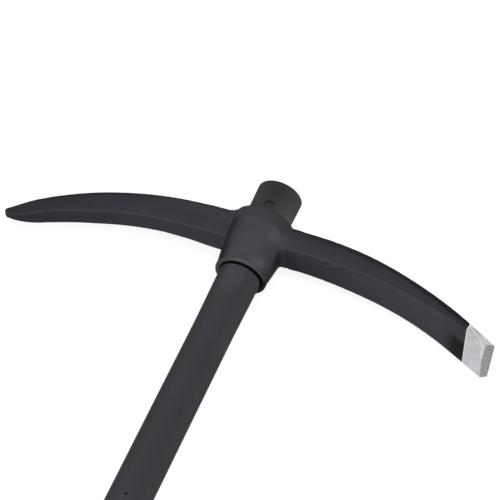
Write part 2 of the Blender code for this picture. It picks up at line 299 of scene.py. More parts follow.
def bar(name, radius, low, high, height, steps=40, x=0.0):
    """A round cutter across the handle, from local Y low to high, at a height."""
    cutter = turned(name, [(0.0, high), (radius, high), (radius, low), (0.0, low)], steps)
    lengthwise = Matrix.Rotation(math.radians(-90.0), 4, "X")
    cutter.data.transform(Matrix.Translation((x, 0, height)) @ lengthwise)
    return cutter


def widen(piece, growth, length, steps=9, past_mouth=0.004, rounding=0.0001):
    """Swells the outside of a tube towards the eye's mouth, and lets it go back just inside."""
    form = bmesh.new()
    form.from_mesh(piece.data)
    for level in [-length * i / steps for i in range(steps + 1)] + [past_mouth]:
        bmesh.ops.bisect_plane(form, geom=form.verts[:] + form.edges[:] + form.faces[:],
                               plane_co=(0, 0, level), plane_no=(0, 0, 1))
    for vertex in form.verts:
        radius = math.hypot(vertex.co.x, vertex.co.y)
        share = 1.0 + vertex.co.z / length
        if radius > tube_radius - tube_wall / 2.0 and 0.0 < share < 1.0 + rounding:
            more = 1.0 + growth * share * share * (3.0 - 2.0 * share) / radius
            vertex.co.x *= more
            vertex.co.y *= more
    form.to_mesh(piece.data)
    form.free()


def seat(piece, node, finish=None):
    """Lays a piece in its place on the tool, in front of the CAD node that it stands for."""
    if finish:
        piece.data.materials.clear()
        piece.data.materials.append(finish)
    piece.data.transform(lying)
    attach(piece, "root")
    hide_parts(node)


wall_shape = wall_tree("turned_wall")
tube = grown("tube", wall_shape, {
    "Inner radius": tube_radius - tube_wall, "Wall at top": tube_wall, "Wall at bottom": tube_wall,
    "Top": tube_top, "Bottom": tube_bottom, "Edge rounding": tube_edge, "Edge steps": 4,
    "Steps round": 128, "Finish": powder_coat,
})
widen(tube, tube_swell, swell_length)
cut(tube, bar("vent_drill", vent_radius, -drill_reach, 0.0, -vent_distance, 24, vent_shift))
cut(tube, bar("pin_drill", pin_radius + pin_gap, -drill_reach, drill_reach, pin_level))
smooth(tube)
seat(tube, "handle_tube")


# Top plug
# Moulded polyethylene disc with a spigot that is pushed into the tube's top end. It is black and
# matt, with the fine grain of its mould.

mould_grain = (0.0006, 0.00008)     # spacing and depth of the mould's grain
spigot_radius = tube_radius - tube_wall - pin_gap
plug_lip = 0.0022
plug_spigot = 0.012
dish_radius = 0.0125
dish_depth = 0.0006
top_edge = 0.0005

moulded_black, tree, shader, coordinates = finish_named("moulded_polyethylene")
_, speck = mottled(tree, coordinates, mould_grain[0], 3.0, "#232324", "#29292b", 0.35, 0.65)
bump = grained(tree, coordinates, *mould_grain, 3.0, 0.3)
give(shader, {"Base Color": speck, "Roughness": 0.55, "IOR": 1.5, "Normal": bump})


def quarter(centre_r, centre_z, radius, start, steps=5):
    """Points of a quarter circle in a turned profile, clockwise from an angle in degrees."""
    turns = [math.radians(start - 90.0 * i / steps) for i in range(steps + 1)]
    return [(centre_r + radius * math.cos(t), centre_z + radius * math.sin(t)) for t in turns]


top_plug = turned("tube_top_plug", [
    (0.0, collar_height - dish_depth), (dish_radius, collar_height - dish_depth),
    (dish_radius + dish_depth, collar_height),
    *quarter(tube_radius - top_edge, collar_height - top_edge, top_edge, 90.0),
    (tube_radius, collar_height - plug_lip), (spigot_radius, collar_height - plug_lip),
    (spigot_radius, tube_top - plug_spigot), (0.0, tube_top - plug_spigot),
])
smooth(top_plug)
seat(top_plug, "top_plug", moulded_black)


# Wedge sleeve
# Turned steel collar with a slow outside taper. The head slides up the tube and jams on it, and
# the part above the eye shows. It is dipped in a thin black lacquer that looks a shade warmer.

sleeve_inset = 0.012
sleeve_gap = 0.0003
sleeve_bore = tube_radius + sleeve_gap
sleeve_thin_wall = 0.00125
sleeve_taper = 0.0193
sleeve_edge = 0.0003
thin_wall_top = sleeve_thin_wall + sleeve_taper * (collar_height - sleeve_inset)
shade_reach = 0.025             # half the width over which the collar's painted light and shade change
top_shade_levels = (0.066, 0.092)     # levels between which painted shade sets in and darkens it towards the top
lacquer_cloud = 0.025           # spacing of the lacquer's thicker and thinner patches
turning_marks = (0.0009, 0.00008)   # spacing and depth of the lathe's marks, coarse enough to show

black_lacquer, tree, shader, coordinates = finish_named("black_lacquer")
x, y, z = add(tree, "ShaderNodeSeparateXYZ", {"Vector": coordinates}).outputs
# Painted light and shade across the collar: palest at its right.
across_collar = add(tree, "ShaderNodeMapRange", {
    "Value": x, "From Min": eye_mouth.x - shade_reach, "From Max": eye_mouth.x + shade_reach,
})
painted_light_across_collar = add(tree, "ShaderNodeValToRGB", {"Fac": across_collar}, [
    (0.08, "#49484b"), (0.25, "#4d4c50"), (0.45, "#424145"), (0.63, "#464549"), (0.75, "#525155"),
    (0.82, "#59585b"), (0.88, "#646366"), (0.93, "#706f71"),
])
_, clouds = mottled(tree, coordinates, lacquer_cloud, 4.0, "#ebebeb", "#ffffff")
# Painted shade: the collar is darker towards its top.
painted_shade_near_top = where(tree, (y, *[eye_mouth.y + level for level in top_shade_levels]))
lacquer_colour = layered(tree, painted_light_across_collar, (1.0, clouds, "MULTIPLY"), (painted_shade_near_top, "#dadada", "MULTIPLY"))
bump = grained(tree, coordinates, *turning_marks, 3.0, 0.3)
give(shader, {"Base Color": lacquer_colour, "Roughness": 0.65, "Specular IOR Level": 0.03, "Normal": bump})

collar = grown("wedge_collar", wall_shape, {
    "Inner radius": sleeve_bore, "Wall at top": thin_wall_top, "Wall at bottom": sleeve_thin_wall,
    "Top": collar_height, "Bottom": sleeve_inset, "Edge rounding": sleeve_edge, "Edge steps": 4,
    "Steps round": 160, "Finish": black_lacquer,
})
cut(collar, bar("collar_drill", pin_radius + pin_gap, -drill_reach, drill_reach, pin_level))
smooth(collar)
seat(collar, "wedge_sleeve")


# Cross pin
# Plain steel pin driven through collar and tube and left a little below the surface. The lacquer
# covers its ends as well.

pin_sink = 0.0019
pin_chamfer = 0.0005
pin_reach = sleeve_bore + sleeve_thin_wall + sleeve_taper * (pin_level - sleeve_inset) - pin_sink
pin = turned("collar_pin", [
    (0.0, pin_reach), (pin_radius - pin_chamfer, pin_reach), (pin_radius, pin_reach - pin_chamfer),
    (pin_radius, pin_chamfer - pin_reach), (pin_radius - pin_chamfer, -pin_reach), (0.0, -pin_reach),
], 48)
pin.data.transform(Matrix.Translation((0, 0, pin_level)) @ Matrix.Rotation(math.radians(90.0), 4, "X"))
smooth(pin)
seat(pin, "cross_pin", black_lacquer)


# Pick head
# One steel forging: an eye with two arms drawn out of it under the hammer, so its edges are soft and
# its roots run into the eye in hollow curves. It is painted satin black, over forge scale, and the
# taper bore is reamed afterwards.

eye_height = 0.0645
eye_wall_mouth = 0.0038
eye_wall_top = 0.0091
eye_bulge = 0.0008
eye_shoulder = 0.0050
eye_lip_edge = 0.0012
eye_lip = (0.0009, 0.008)       # how far the mouth's lip stands out, and over what length
eye_steps = 160
root_rim = 0.0045               # hollow under each arm
forge_grain = 0.00082           # spacing of the skin that joins the arms to the eye
side_dome = 0.0005              # how far the arms' broad faces swell out
smoothing_loss = 0.0002         # what the smoothing below takes off the arms' faces
ring_gap = 0.003                # most that two rings of an arm are apart

# Each arm has the side that it leaves on, the drop of its centreline below the eye's top, that line's
# bend (straight run, radius and turn), the hollows at its root, and sections: distance along the
# line, width across the tool, depth, rounding of the edges, and where it isn't 0 rise above the line.
point_arm = {
    "side": -1, "drop": 0.0188, "bend": (0.048, 0.326, math.radians(29.0)), "root_side": 0.0035,
    "root_top": 0.0170,
    "sections": [
        (0.030, 0.0250, 0.0302, 0.0007),
        (0.048, 0.0240, 0.0298, 0.0007),
        (0.068, 0.0214, 0.0292, 0.0007, 0.0001),
        (0.098, 0.0208, 0.0268, 0.0007, 0.0006),
        (0.137, 0.0204, 0.0238, 0.0007, 0.0003),
        (0.165, 0.0194, 0.0222, 0.0007),
        (0.190, 0.0188, 0.0188, 0.0007),
        (0.213, 0.0172, 0.0160, 0.0007),
    ],
}
point_tip = (0.2450, 0.0060, 0.0077)    # distance, width and depth where the point rounds over
point_tip_rise = 0.0021
point_tip_round = 0.0027
point_taper_swell = 0.0015              # how far the faces of the taper bow out
chisel_arm = {
    "side": 1, "drop": 0.0178, "bend": (0.048, 0.356, math.radians(26.0)), "root_side": 0.0055,
    "root_top": 0.0045,
    "sections": [
        (0.030, 0.0298, 0.0260, 0.0007),
        (0.048, 0.0314, 0.0236, 0.0007),
        (0.068, 0.0334, 0.0228, 0.0007),
        (0.093, 0.0346, 0.0222, 0.0007),
        (0.120, 0.0386, 0.0188, 0.0007),
        (0.160, 0.0412, 0.0152, 0.0007),
        (0.187, 0.0446, 0.0126, 0.0007),
        (0.215, 0.0524, 0.0080, 0.0005),
        (0.241, 0.0545, 0.0062, 0.0004, -0.0007),
        (0.2528, 0.0550, 0.0057, 0.0004, -0.0007),
    ],
}

# Two creases that the forging dies left beside the chisel's root: radius, distance from the axis, level.
die_creases = ((0.0022, 0.0285, 0.0296), (0.0014, 0.0333, 0.0335))
crease_reach = 0.020
# Blows that missed dented the chisel's ridge on its near side: distance from the axis, rise above the
# arm's middle, lean, half length, half width and depth.
hammer_marks = (
    (0.0680, 0.0142, 0.25, 0.0060, 0.0018, 0.0004),
    (0.0790, 0.0128, 0.30, 0.0080, 0.0020, 0.0006),
    (0.0870, 0.0098, 0.36, 0.0085, 0.0015, 0.0008),
    (0.0910, 0.0142, 0.30, 0.0070, 0.0020, 0.0005),
)
mouth_flare = (0.0006, 0.0026, 0.0018)  # how far the mouth is opened, how deep, and its slant inwards
flare_shift = (0.0009, 0.0017)          # and how far it is off the axis, to the right and up
past_end = 0.004                        # how far the reamer runs out at each end
grind_line = (0.2239, 0.0225, 0.33)     # where the paint stops, and its lean across and in depth
past_blade = ((-0.05, 0.03), (-0.05, -0.03), (0.05, -0.03), (0.05, 0.03))   # well round the blade
past_edge = 0.060


def taper_radius(level):
    """Radius of the reamed bore, which follows the wedge sleeve."""
    return sleeve_bore + sleeve_thin_wall + sleeve_taper * (level - sleeve_inset) + sleeve_gap


def eye_profile(side_steps=40, arc_steps=12):
    """Outer profile of the eye, from the axis over the shoulder and down to the mouth."""
    top = taper_radius(eye_height) + eye_wall_top
    mouth = taper_radius(0.0) + eye_wall_mouth
    profile = [(0.0, eye_height)]
    profile += quarter(top - eye_shoulder, eye_height - eye_shoulder, eye_shoulder, 90.0, arc_steps)
    stand_out, lip_length = eye_lip
    for i in range(1, side_steps):
        t = i / side_steps
        level = eye_height - eye_shoulder + (eye_lip_edge - eye_height + eye_shoulder) * t
        near_lip = max(1.0 - level / lip_length, 0.0)
        swell = 4.0 * eye_bulge * t * (1.0 - t) + stand_out * near_lip * near_lip * (3.0 - 2.0 * near_lip)
        profile.append((top + (mouth - top) * t + swell, level))
    profile += quarter(mouth + stand_out - eye_lip_edge, eye_lip_edge, eye_lip_edge, 0.0)
    return profile + [(0.0, 0.0)]


def slope(before, here, after, run_in, painted_shade_low_right):
    """Tangent at a section: the milder of its two slopes, or none where the size turns back."""
    first = (here - before) / run_in if run_in > 0.0 else (after - here) / painted_shade_low_right
    second = (after - here) / painted_shade_low_right if painted_shade_low_right > 0.0 else first
    return 2.0 * first * second / (first + second) if first * second > 0.0 else 0.0


def eased(sections, s):
    """Sizes of the section at distance s, on smooth curves through the given sections."""
    if s <= sections[0][0]:
        return sections[0][1:]
    for i in range(len(sections) - 1):
        low, high = sections[i], sections[i + 1]
        if s > high[0]:
            continue
        before, after = sections[max(i - 1, 0)], sections[min(i + 2, len(sections) - 1)]
        span = high[0] - low[0]
        t = (s - low[0]) / span
        sizes = []
        for k in range(1, len(low)):
            enter = slope(before[k], low[k], high[k], low[0] - before[0], span) * span
            leave = slope(low[k], high[k], after[k], span, after[0] - high[0]) * span
            rise = high[k] - low[k]
            bend = t * (enter - 2.0 * rise + leave) + (3.0 * rise - 2.0 * enter - leave)
            sizes.append(low[k] + t * (enter + t * bend))
        return sizes
    return sections[-1][1:]


def centreline(s, drop, bend):
    """Place on an arm's centreline, s metres from the handle's axis, and the direction across it."""
    straight, radius, angle = bend
    turn = min(max(s - straight, 0.0) / radius, angle)
    past = max(s - straight - radius * angle, 0.0)
    x = min(s, straight) + radius * math.sin(turn) + past * math.cos(turn)
    z = eye_height - drop - radius * (1.0 - math.cos(turn)) - past * math.sin(turn)
    return Vector((x, 0.0, z)), Vector((math.sin(turn), 0.0, math.cos(turn)))


def section(width, depth, corner, corner_steps=5, flat_steps=8, corner_share=0.45):
    """A rounded rectangle with slightly domed sides, as [(across the tool, in the bend's plane), out]."""
    corner = min(corner, corner_share * width, corner_share * depth)
    corners = []
    for start, side, rise in ((0, 1, 1), (90, -1, 1), (180, -1, -1), (270, 1, -1)):
        middle = Vector((side * (width / 2.0 - corner), rise * (depth / 2.0 - corner)))
        for i in range(corner_steps + 1):
            turn = math.radians(start + 90.0 * i / corner_steps)
            out = Vector((math.cos(turn), math.sin(turn)))
            corners.append((middle + corner * out, out))
    outline = []
    for i, (point, out) in enumerate(corners):
        outline.append((point, out))
        if i % (corner_steps + 1) == corner_steps:
            following = corners[(i + 1) % len(corners)][0]
            for k in range(1, flat_steps):
                share = k / flat_steps
                dome = 4.0 * side_dome * share * (1.0 - share) * abs(out.x)
                outline.append((point.lerp(following, share) + dome * out, out))
    return outline


def nearest_on_eye(point):
    """Nearest point of the eye's outer surface to a point outside it."""
    reach = math.hypot(point.x, point.y)
    flat = Vector((reach, point.z))
    best = None
    for first, second in zip(eye_outline, eye_outline[1:]):
        edge = second - first
        t = min(max((flat - first).dot(edge) / edge.length_squared, 0.0), 1.0)
        here = first + t * edge
        if best is None or (flat - here).length < (flat - best).length:
            best = here
    return Vector((point.x * best.x / reach, point.y * best.x / reach, best.y))


def root_rings(outline, level, root_side, root_top, steps=10, halvings=24):
    """Rings of a hollow root: a ball rolled round the arm where it meets the eye."""
    columns = []
    for point, out in outline:
        radius = root_side * out.x ** 2 + (root_top if out.y > 0.0 else root_rim) * out.y ** 2
        radius += max(root_top - root_rim, 0.0) * 4.0 * (out.x * out.y) ** 2 * (out.y > 0.0)
        centre = Vector((0.0, point.x + radius * out.x, level + point.y + radius * out.y))
        near, far = 0.010, 0.065            # the ball's centre lies somewhere between
        for _ in range(halvings):
            centre.x = (near + far) / 2.0
            if (centre - nearest_on_eye(centre)).length < radius:
                near = centre.x
            else:
                far = centre.x
        to_arm = Vector((0.0, -out.x, -out.y))
        to_eye = (nearest_on_eye(centre) - centre).normalized()
        axis = to_arm.cross(to_eye)
        turn = to_arm.angle(to_eye)
        past_touch = turn + math.radians(12.0)      # the hollow runs on a little below the surface
        angles = [turn * i / steps for i in range(steps + 1)] + [past_touch]
        column = [centre + radius * (Quaternion(axis, angle) @ to_arm) for angle in angles]
        inside = column[-1].copy()
        inside.x = 0.012                    # and ends deep in the eye, which isn't bored yet
        columns.append(column + [inside])
    return [[column[i] for column in columns] for i in reversed(range(steps + 3))]


def stations(sections, start):
    """Distances of an arm's rings: one at every section, and more where these are far apart."""
    places = [start]
    for distance in [row[0] for row in sections if row[0] > start]:
        last = places[-1]
        steps = math.ceil((distance - last) / ring_gap)
        places += [last + (distance - last) * i / steps for i in range(1, steps + 1)]
    return places


def arm_form(side, drop, bend, root_side, root_top, sections, past_root=0.001):
    """Vertices and faces of one arm: its root rings, then sections along the bent centreline."""
    loops = root_rings(section(*sections[0][1:4]), eye_height - drop, root_side, root_top)
    for s in stations(sections, max(point.x for point in loops[-1]) + past_root):
        centre, across = centreline(s, drop, bend)
        *sizes, rise = eased(sections, s)
        sizes[:2] = [size + 2.0 * smoothing_loss for size in sizes[:2]]
        loops.append([centre + across * (point.y + rise) + Vector((0.0, point.x, 0.0))
                      for point, _ in section(*sizes)])
    size = len(loops[0])
    vertices = [(side * p.x, p.y, p.z) for loop in loops for p in loop]
    faces = []
    for i in range(len(loops) - 1):
        for k in range(size):
            j = (k + 1) % size
            faces.append((i * size + k, i * size + j, (i + 1) * size + j, (i + 1) * size + k))
    faces.append(tuple(range(size)))
    faces.append(tuple(range((len(loops) - 1) * size, len(loops) * size)))
    return vertices, faces


def pointed(sections, steps=8):
    """Sections with the ground taper and the rounded-over tip of the point added."""
    start = sections[-1]
    taper = []
    for i in range(1, steps + 1):
        t = i / steps
        bow = 4.0 * point_taper_swell * t * (1.0 - t)
        distance, width, depth = [a + (b - a) * t for a, b in zip(start, point_tip)]
        taper.append((distance, width + bow, depth + bow, start[3], point_tip_rise * t ** 4))
    last = []
    for degrees in (25.0, 45.0, 62.0, 76.0):
        turn = math.radians(degrees)
        shrink = 2.0 * point_tip_round * (1.0 - math.cos(turn))
        last.append((point_tip[0] + point_tip_round * math.sin(turn), point_tip[1] - shrink,
                     point_tip[2] - shrink, start[3], point_tip_rise + 0.25 * shrink))
    return sections + taper + last


def blade_place(s, y, z):
    """A point of the blade at distance s, y across the tool, z above the centreline."""
    centre, across = centreline(s, chisel_arm["drop"], chisel_arm["bend"])
    return centre + across * z + Vector((0.0, y, 0.0))


def paint_stop(y, z):
    """Distance where the paint stops."""
    return grind_line[0] - grind_line[1] * y - grind_line[2] * z


def slab(name, rings):
    """A solid through crisp rings."""
    form = bmesh.new()
    loops = [[form.verts.new(point) for point in ring] for ring in rings]
    for first, second in zip(loops, loops[1:]):
        for i in range(len(first)):
            j = (i + 1) % len(first)
            form.faces.new((first[i], first[j], second[j], second[i]))
    form.faces.new(loops[0])
    form.faces.new(loops[-1])
    bmesh.ops.recalc_face_normals(form, faces=form.faces)
    return piece_from(form, name)


eye_outline = [Vector(corner) for corner in eye_profile()]
head = turned("forged_head", eye_profile(), eye_steps)
point_arm["sections"] = pointed(point_arm["sections"])
form = bmesh.new()
form.from_mesh(head.data)
for arm in (point_arm, chisel_arm):
    arm["sections"] = [(*row, 0.0)[:5] for row in arm["sections"]]
    vertices, faces = arm_form(**arm)
    shell = bpy.data.meshes.new("arm")
    shell.from_pydata(vertices, [], faces)
    form.from_mesh(shell)
bmesh.ops.recalc_face_normals(form, faces=form.faces)
form.to_mesh(head.data)
form.free()

skin = head.modifiers.new("skin", "REMESH")
skin.mode = "VOXEL"
skin.voxel_size = forge_grain
skin.use_smooth_shade = True
settle(head)
for radius, distance, level in die_creases:
    crease = bar("crease", radius, -crease_reach, crease_reach, level, 16, distance)
    cut(head, crease, solver="MANIFOLD")
soft = head.modifiers.new("soft", "SMOOTH")
soft.factor = 0.5
soft.iterations = 2
settle(head)
near_side = eye_height - chisel_arm["drop"]
for vertex in head.data.vertices:
    x, y, z = vertex.co
    for middle, rise, lean, length, width, depth in hammer_marks:
        away = math.hypot((x - middle) / length, (-y - rise - lean * (x - middle)) / width)
        if away < 1.0 and z < near_side:
            vertex.co.z += depth * (1.0 - away ** 2) ** 2

paint_edge = slab("paint_edge", [
    [blade_place(paint_stop(y, z) + reach, y, z) for y, z in past_blade] for reach in (0.0, past_edge)
])
bore = turned("reamer", [
    (0.0, eye_height + past_end), (taper_radius(eye_height + past_end), eye_height + past_end),
    (taper_radius(-past_end), -past_end), (0.0, -past_end),
], eye_steps)
opened, flare_depth, flare_slant = mouth_flare
flare_radius = taper_radius(0.0) + opened
flare = turned("countersink", [
    (0.0, flare_depth), (flare_radius - flare_slant, flare_depth), (flare_radius, 0.0),
    (flare_radius, -past_end), (0.0, -past_end),
], eye_steps)
flare.data.transform(Matrix.Translation((flare_shift[0], -flare_shift[1], 0.0)))
for cutter in (paint_edge, bore, flare):
    cut(head, cutter, solver="MANIFOLD")
smooth(head, 40.0)

paint_cloud = 0.030             # spacing of the paint's thicker and thinner patches
ragged_edge = 0.006             # spacing of a painted highlight's ragged border
scale_pit = (0.0016, 0.00015)   # spacing and depth of the pits that the forge scale left
hammer_face = (0.014, 0.0010)   # and of the flats that the forging hammer left
blow_width = 0.009              # spacing of the marks along the chisel's ridge
blow_relief = 0.004             # how strongly they catch the light
bore_blend = (0.0008, -0.0001)  # the bore's painted shade sets in between these distances past its rim

forge_paint, tree, shader, coordinates = finish_named("painted_forge_scale")
from_mouth = add(tree, "ShaderNodeVectorMath", {0: coordinates, 1: tuple(eye_mouth)}, operation="SUBTRACT")
x, y, z = add(tree, "ShaderNodeSeparateXYZ", {"Vector": from_mouth}).outputs
surface = add(tree, "ShaderNodeNewGeometry").outputs
facing = add(tree, "ShaderNodeSeparateXYZ", {"Vector": surface["Normal"]}).outputs


def along(reach, stops):
    """Colours along the arms, from -reach to reach of the handle's axis."""
    share = add(tree, "ShaderNodeMapRange", {"Value": x, "From Min": -reach, "From Max": reach})
    return add(tree, "ShaderNodeValToRGB", {"Fac": share}, stops)


# Painted shade in the hollows beside the arms and on the eye's flanks, and painted light on the eye's
# crests, with an even tone over its top. Masks on the eye are measured from its mouth: x to the right,
# y up the handle, z up from the axis.
painted_shade_and_light = along(0.040, [
    (0.155, "#3f4146"), (0.194, "#27292d"), (0.230, "#2a2c30"), (0.287, "#414347"), (0.350, "#494b4f"),
    (0.400, "#4b4d51"), (0.800, "#4d4e52"), (0.900, "#494b50"),
])
even_top = where(tree, (y, 0.044, 0.054), 0.85)
# Painted shade under the chisel's root, and low on the eye's left.
hollow = where(tree, (x, 0.0237, 0.0285), (x, 0.0292, 0.0275), (y, 0.034, 0.030))
low_left = where(tree, (x, -0.030, -0.027), (x, -0.012, -0.021), (y, 0.026, 0.014))
# A painted highlight on the crest of the mouth's lip, and painted light on its end face at the left.
# Painted shade over the lip at its lower right.
crest = where(tree, (y, 0.0002, 0.0012), (y, 0.0038, 0.0014), (x, -0.014, -0.004), (x, 0.019, 0.012))
end_face = where(tree, (y, 0.0018, 0.0006), (x, -0.030, -0.027), (x, -0.010, -0.016))
painted_shade_low_right = where(tree, (x, 0.0175, 0.0215), (y, 0.010, 0.004), (z, 0.008, 0.001))
painted_shade_and_light = layered(
    tree, painted_shade_and_light, (even_top, "#434549"), (hollow, "#222428"), (low_left, "#cacaca", "MULTIPLY"),
    (crest, "#5b5d61"), (end_face, "#4d4c52"), (painted_shade_low_right, "#1f2023"),
)
# Two painted highlights on the eye's right flank, with ragged borders: middle and reach.
painted_highlight_patches = (((0.0265, 0.0455, 0.0265), 0.0145), ((0.0215, 0.0125, 0.0260), 0.0105))
stray = (0.012, 0.012, 0.012)   # how far the borders wander
ragged = add(tree, "ShaderNodeTexNoise", {"Vector": coordinates, "Scale": 1 / ragged_edge, "Detail": 2.0})
strayed = add(tree, "ShaderNodeVectorMath", {
    0: ragged.outputs["Color"], 1: stray, 2: from_mouth,
}, operation="MULTIPLY_ADD")
for middle, reach in painted_highlight_patches:
    away = add(tree, "ShaderNodeVectorMath", {0: strayed, 1: middle}, operation="DISTANCE").outputs["Value"]
    painted_shade_and_light = layered(tree, painted_shade_and_light, (where(tree, (away, reach, 0.0)), "#5f5d63"))

# Painted shade on the faces that look up the handle, the backs of the arms, and painted light and shade
# along the arms: one ramp for faces that look up and one for the rest, darker towards both ends.
cloud, clouds = mottled(tree, coordinates, paint_cloud, 4.0, "#ececec", "#ffffff")
beside_eye = add(tree, "ShaderNodeMath", {0: x}, operation="ABSOLUTE")
painted_shade_on_backs = where(tree, (facing["Y"], 0.03, 0.11), (beside_eye, 0.026, 0.031))
upper = along(0.245, [
    (0.020, "#cccccc"), (0.100, "#dedede"), (0.194, "#ededed"), (0.276, "#fafafa"), (0.420, "#ffffff"),
    (0.541, "#f3f3f3"), (0.580, "#e1e1e1"), (0.653, "#d7d7d7"), (0.765, "#d1d1d1"), (0.880, "#c4c4c4"),
    (0.930, "#a6a6a6"),
])
lower = along(0.245, [
    (0.020, "#d1d1d1"), (0.100, "#e3e3e3"), (0.194, "#f0f0f0"), (0.300, "#fafafa"), (0.420, "#ffffff"),
    (0.541, "#f2f2f2"), (0.580, "#e0e0e0"), (0.650, "#e4e4e4"), (0.720, "#eeeeee"), (0.800, "#fafafa"),
    (0.880, "#ffffff"), (0.935, "#dcdcdc"),
])
painted_light_along_arms = layered(tree, lower, (where(tree, (facing["Z"], 0.55, 0.85)), upper))
paint_colour = layered(
    tree, clouds, (1.0, painted_shade_and_light, "MULTIPLY"), (painted_shade_on_backs, "#b4b4b4", "MULTIPLY"),
    (1.0, painted_light_along_arms, "MULTIPLY"),
)

# Painted highlights along the ridges, weaker on the flat half of the chisel's arm.
painted_ridge_highlight = add(tree, "ShaderNodeMapRange", {
    "Value": surface["Pointiness"], "From Min": 0.51, "From Max": 0.58, "To Min": 0.0, "To Max": 0.5,
})
round_half = add(tree, "ShaderNodeMapRange", {
    "Value": x, "From Min": 0.07, "From Max": 0.10, "To Min": 1.0, "To Max": 0.15,
})
# Blows that missed the chisel's arm left marks along its ridge, close to the eye, dark where they
# scraped and pale where they glanced off.
struck = where(tree, (x, 0.066, 0.076), (x, 0.100, 0.090), (z, 0.001, 0.007), (z, 0.0170, 0.0155))
aslant = add(tree, "ShaderNodeVectorRotate", {
    "Vector": coordinates, "Angle": math.radians(18.0),
}, rotation_type="Y_AXIS")
drawn_out = add(tree, "ShaderNodeVectorMath", {0: aslant, 1: (1.0, 1.0, 3.4)}, operation="MULTIPLY")
marks = add(tree, "ShaderNodeTexNoise", {"Vector": drawn_out, "Scale": 1 / blow_width, "Detail": 2.0})
# Painted shade: the reamed bore is painted black.
off_flare = add(tree, "ShaderNodeVectorMath", {
    0: from_mouth, 1: (1.0, 0.0, 1.0), 2: (-flare_shift[0], 0.0, -flare_shift[1]),
}, operation="MULTIPLY_ADD")
from_axis = add(tree, "ShaderNodeVectorMath", {0: off_flare}, operation="LENGTH").outputs["Value"]
paint_colour = layered(
    tree, paint_colour, (where(tree, painted_ridge_highlight, round_half), "#5a5c60"),
    (where(tree, (marks, 0.46, 0.34), struck), "#2f3135"),
    (where(tree, (marks, 0.54, 0.66), struck), "#55575c"),
    (where(tree, (from_axis, *[flare_radius + past for past in bore_blend])), "#0a0a0b"),
)

sheen = add(tree, "ShaderNodeMapRange", {
    "Value": cloud, "From Min": 0.3, "From Max": 0.7, "To Min": 0.60, "To Max": 0.70,
})
pits = grained(tree, coordinates, *scale_pit, 5.0, 0.35)
flats = grained(tree, coordinates, *hammer_face, 1.0, 0.25, Normal=pits)
bump = add(tree, "ShaderNodeBump", {
    "Height": where(tree, marks, struck), "Strength": 0.6, "Distance": blow_relief, "Normal": flats,
})
give(shader, {"Base Color": paint_colour, "Roughness": sheen, "Specular IOR Level": 0.04, "Normal": bump})
seat(head, "pick_head", forge_paint)


# Ground blade
# End of the chisel, ground bare from the paint's edge on: the broad faces on a belt, the near side on
# a stone that also took a strip off the underside, and a bevel up to the edge.

grind_inset = 0.0001            # what the wheel takes off each face
grind_lap = 0.0003              # how far the bare part runs in under the paint
# From the near side to the far side: share of the half width, and distances where the burnished
# strip starts, the bevel starts and the edge is.
blade_lines = [
    (-1.00, 0.2427, 0.2491, 0.2550),
    (-1.00, 0.2427, 0.2489, 0.2549),
    (-0.55, 0.2434, 0.2475, 0.2541),
    (-0.16, 0.2446, 0.2468, 0.2533),
    (0.27, 0.2457, 0.2459, 0.2524),
    (0.57, 0.2460, 0.2462, 0.2518),
    (1.00, 0.2469, 0.2471, 0.2508),
]
side_strip = (0.0010, 0.0004, 0.0004, 0.0017, 0.0024)   # how far the stone came in at each corner
side_lean = (0.0, 0.0, 0.0002, 0.0004, 0.0005)          # of the profile, and how deep it went there
strip_lean = 0.0003             # what the burnished strip loses by the bevel
edge_corner = 0.0008            # width of the rounded arrises
highlight_strip = (0.0006, 0.0012)   # distances past the paint between which the painted highlight strip ends
gloss_spread = 0.08
blade_turn = -chisel_arm["bend"][2]
paint_corner = lying @ blade_place(grind_line[0], 0.0, 0.0)
past_paint = lying @ blade_place(grind_line[0] + 1.0, grind_line[1], grind_line[2]) - paint_corner


def blade_rings():
    """Profiles of the ground blade from its near side to its far side."""
    rings = []
    for i, (share, strip_start, bevel_start, edge) in enumerate(blade_lines):
        ring = []
        corners = ((None, 1, 0.0), (edge, 1, 0.0), (bevel_start, -1, strip_lean),
                   (strip_start, -1, 0.0), (None, -1, 0.0))
        for k, (s, face, lift) in enumerate(corners):
            width, depth, _, rise = eased(chisel_arm["sections"], s or grind_line[0])
            y = share * (width / 2.0 - grind_inset) + (side_strip[k] if i == 1 else 0.0)
            z = rise + face * (depth / 2.0 - grind_inset) + lift + (side_lean[k] if i == 0 else 0.0)
            ring.append(blade_place(s or paint_stop(y, z) - grind_lap, y, z))
        rings.append(ring)
    return rings


